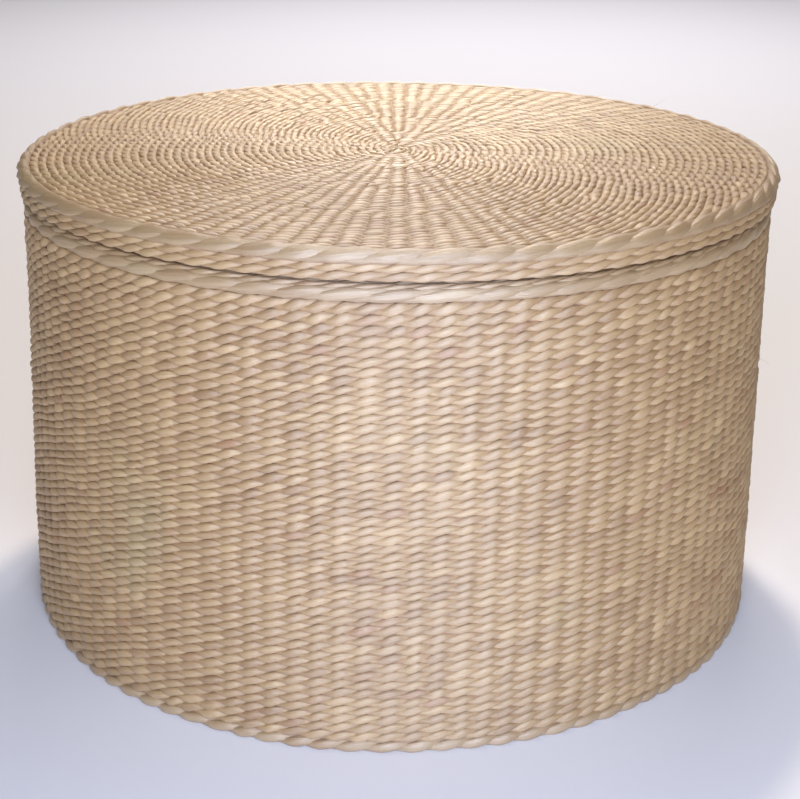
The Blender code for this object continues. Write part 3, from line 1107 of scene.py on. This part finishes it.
def plank(name, node, body):
    low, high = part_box(node)
    size, middle = high - low, (low + high) / 2
    shape = bmesh.new()
    bmesh.ops.create_cube(shape, size=1.0, matrix=Matrix.Diagonal((*size, 1.0)))
    bmesh.ops.bevel(shape, geom=shape.edges[:], offset=PLANK_EASE, segments=2, profile=0.6, affect="EDGES")
    for cut in np.linspace(-0.45, 0.45, 13) * size.x:
        everything = shape.verts[:] + shape.edges[:] + shape.faces[:]
        bmesh.ops.bisect_plane(shape, geom=everything, plane_co=(cut, 0, 0), plane_no=(1, 0, 0))
    for vert in shape.verts:
        vert.co.y += PLANK_BOW * math.cos(math.pi * vert.co.x / size.x) * (1 if middle.y < 0 else -1)
    mesh = finished_mesh(name, shape)
    mesh.transform(Matrix.Translation(middle))
    new_piece(name, mesh, PINE, body, [node])
    sharp_shading(mesh)


for number in (1, 2, 3):
    plank(f"planed_slat_{number}", f"base_slat_{number}", "base")
for number in (1, 2):
    plank(f"planed_batten_{number}", f"lid_batten_{number}", "lid")
print("turned two boards, bent the ring and planed five strips")

# %% [markdown]
# ## Nails and screws
# All the fasteners are steel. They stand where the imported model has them, with their heads about half a
# millimetre below the surface of the board, the battens and the cane. The screws have countersunk heads
# with a cross recess, cut by two tapered blades, and the nails of the middle hoop have low domed heads.
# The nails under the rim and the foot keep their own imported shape.

# %% Drive the fasteners
FASTENER_STEPS = 28
HEAD_RADIUS = 0.0039
SHANK_RADIUS = 0.0020
THREAD_PITCH = 0.0012
THREAD_START = 0.0030
NAIL_HALF_LENGTH = 0.009
NAIL_DOME = 0.0006


def applied_cuts(body, cutters):
    """The mesh of one shape with others cut from it."""
    for cutter in cutters:
        cut = body.modifiers.new("recess", "BOOLEAN")
        cut.operation = "DIFFERENCE"
        cut.solver = "EXACT"
        cut.object = cutter
    bpy.context.view_layer.update()
    graph = bpy.context.evaluated_depsgraph_get()
    mesh = bpy.data.meshes.new_from_object(body.evaluated_get(graph))
    for helper in [body] + cutters:
        bpy.data.objects.remove(helper)
    return mesh


def recess_blade(head, turn):
    """One arm pair of the cross recess, narrower at the bottom."""
    blade = bmesh.new()
    for vert in bmesh.ops.create_cube(blade, size=1.0)["verts"]:
        narrow = 0.45 if vert.co.z < 0 else 1.0
        vert.co = Vector((vert.co.x * head * 1.15 * narrow, vert.co.y * head * 0.24, vert.co.z * 0.0032))
    bmesh.ops.rotate(blade, verts=blade.verts, cent=(0, 0, 0), matrix=Matrix.Rotation(turn, 3, "Z"))
    return added("recess_cutter", finished_mesh("blade", blade))


def screw_mesh(name, head, shank, length):
    """A countersunk screw with its head at the origin, pointing down."""
    profile = [(0, 0), (head * 0.9, 0), (head, -0.0002), (head, -0.0005), (shank, -0.0024)]
    ridges = round((length - 2 * THREAD_START) / THREAD_PITCH)
    for ridge in range(ridges):
        top = -THREAD_START - ridge * THREAD_PITCH
        profile += [(shank * 0.86, top), (shank, top - 0.0006)]
    profile += [(shank * 0.8, -length + 0.0026), (0, -length)]
    body = added("screw_blank", spun_mesh(name + "_blank", profile, FASTENER_STEPS, closed=False))
    mesh = applied_cuts(body, [recess_blade(head, turn) for turn in (0, math.pi / 2)])
    mesh.name = name
    return mesh


def drive(name, mesh, node, body, matrix):
    own = mesh.copy()
    own.transform(matrix)
    own.materials.clear()
    new_piece(name, own, STEEL, body, [node])
    sharp_shading(own)


def screws(label, count, body, head_up):
    low, high = levels(f"{label}_screw_1")
    pattern = screw_mesh(label + "_screw_pattern", HEAD_RADIUS, SHANK_RADIUS, high - low)
    print(f"{label} screw: {len(pattern.polygons)} faces")
    for number in range(1, count + 1):
        node = f"{label}_screw_{number}"
        middle, (low, high) = middle_of(node), levels(node)
        place = Matrix.Translation((middle.x, middle.y, high if head_up else low))
        flip = Matrix.Rotation(0 if head_up else math.pi, 4, "X")
        twist = Matrix.Rotation(0.7 * number, 4, "Z")
        drive(f"{label}_cross_screw_{number}", pattern, node, body, place @ flip @ twist)


screws("base", 6, "base", head_up=True)
screws("lid", 4, "lid", head_up=False)

nail_head = [(0, NAIL_DOME), (0.0012, 0.0005), (0.0020, 0.0003), (0.0024, 0), (0.0024, -0.0006)]
nail_profile = nail_head + [(0.0011, -0.0008), (0.0011, -0.0155), (0, -0.0172)]
nail_pattern = spun_mesh("nail_pattern", nail_profile, FASTENER_STEPS, closed=False)
for number in range(1, 9):
    middle = middle_of(f"middle_nail_{number}")
    angle = math.atan2(middle.y, middle.x)
    head_radius = math.hypot(middle.x, middle.y) - (NAIL_HALF_LENGTH - NAIL_DOME)
    place = Matrix.Translation((head_radius * math.cos(angle), head_radius * math.sin(angle), middle.z))
    turned = Matrix.Rotation(angle, 4, "Z") @ Matrix.Rotation(-math.pi / 2, 4, "Y")
    drive(f"hoop_nail_{number}", nail_pattern, f"middle_nail_{number}", "base", place @ turned)

for number in range(1, 9):
    for level in ("top", "bottom"):
        nail = bpy.data.objects[f"{level}_nail_{number}"]
        nail.data.materials.clear()
        nail.data.materials.append(STEEL)
print("drove ten screws and twenty-four nails")

# %% [markdown]
# ## Light and floor
# A big pale floor fills the view. A broad cool light near the camera gives the drum its bright middle
# and soft sides, and a small warm lamp above and behind reaches over the lid. Two narrow lights from
# there lay a gleam on the far and the near half of the lid and leave the floor alone. A wide one
# brightens the floor at the back, and the pale world fills the shadows.

# %% Set the floor
FLOOR_RADIUS = 14.0

floor_finish = Finish("floor", roughness=0.75, specular=0.2)
floor_place = floor_finish.place()
paper = floor_finish.noise(floor_place, 3.0, detail=2.0)
floor_finish.set("Base Color", floor_finish.blend(paper * 0.3, colour(244, 245, 254), colour(238, 240, 250)))

floor_shape = bmesh.new()
bmesh.ops.create_circle(floor_shape, cap_ends=True, radius=FLOOR_RADIUS, segments=96)
floor = added("floor", finished_mesh("floor", floor_shape))
floor.data.materials.append(floor_finish.material)
floor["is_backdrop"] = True


# %% Hang the lights
COOL = (0.85, 0.94, 1.13)
WARM = (1.0, 0.82, 0.58)
GLEAM_PLACE = (0.0, 0.95, 1.95)
WORLD_TINT = (0.98, 0.92, 0.86, 1.0)
WORLD_STRENGTH = 0.145


def hung_light(light, place, target, power, tint):
    light.energy = power
    light.color = tint
    holder = added(light.name, light)
    holder.location = place
    holder.visible_camera = False
    holder.rotation_euler = (Vector(target) - Vector(place)).to_track_quat("-Z", "Y").to_euler()


def soft_light(name, place, target, size, power, tint):
    light = bpy.data.lights.new(name, "AREA")
    light.shape = "DISK"
    light.size = size
    hung_light(light, place, target, power, tint)


soft_light("front_light", (0.06, -1.48, 0.64), (0, 0, 0.08), 0.95, 21.8, COOL)
soft_light("back_lamp", (0.09, 0.78, 2.42), (0, 0, 0.2), 0.20, 25.0, WARM)


def narrow_light(name, place, target, degrees, power, tint):
    light = bpy.data.lights.new(name, "SPOT")
    light.shadow_soft_size = 0.08
    light.spot_size = math.radians(degrees)
    light.spot_blend = 1.0
    hung_light(light, place, target, power, tint)


narrow_light("gleam", GLEAM_PLACE, (0, 0.17, 0.374), 19, 106.0, (0.97, 0.99, 0.96))
narrow_light("cool_gleam", GLEAM_PLACE, (0, -0.20, 0.374), 17, 40.0, (0.86, 0.92, 1.12))
soft_light("far_light", (0.25, 3.0, 2.3), (0.25, 2.7, 0.0), 2.0, 53.0, (1.0, 0.96, 0.95))

world = bpy.data.worlds.new("studio")
bpy.context.scene.world = world
world.use_nodes = True
backdrop = world.node_tree.nodes["Background"].inputs
backdrop["Color"].default_value = WORLD_TINT
backdrop["Strength"].default_value = WORLD_STRENGTH
bpy.context.scene.view_settings.view_transform = "Standard"

# %% [markdown]
# ## Finish
# The last step prints the box round everything that is shown, with the floor left out.

# %% Finish
low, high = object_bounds()
print("shown:", [round(value, 4) for value in low], [round(value, 4) for value in high])
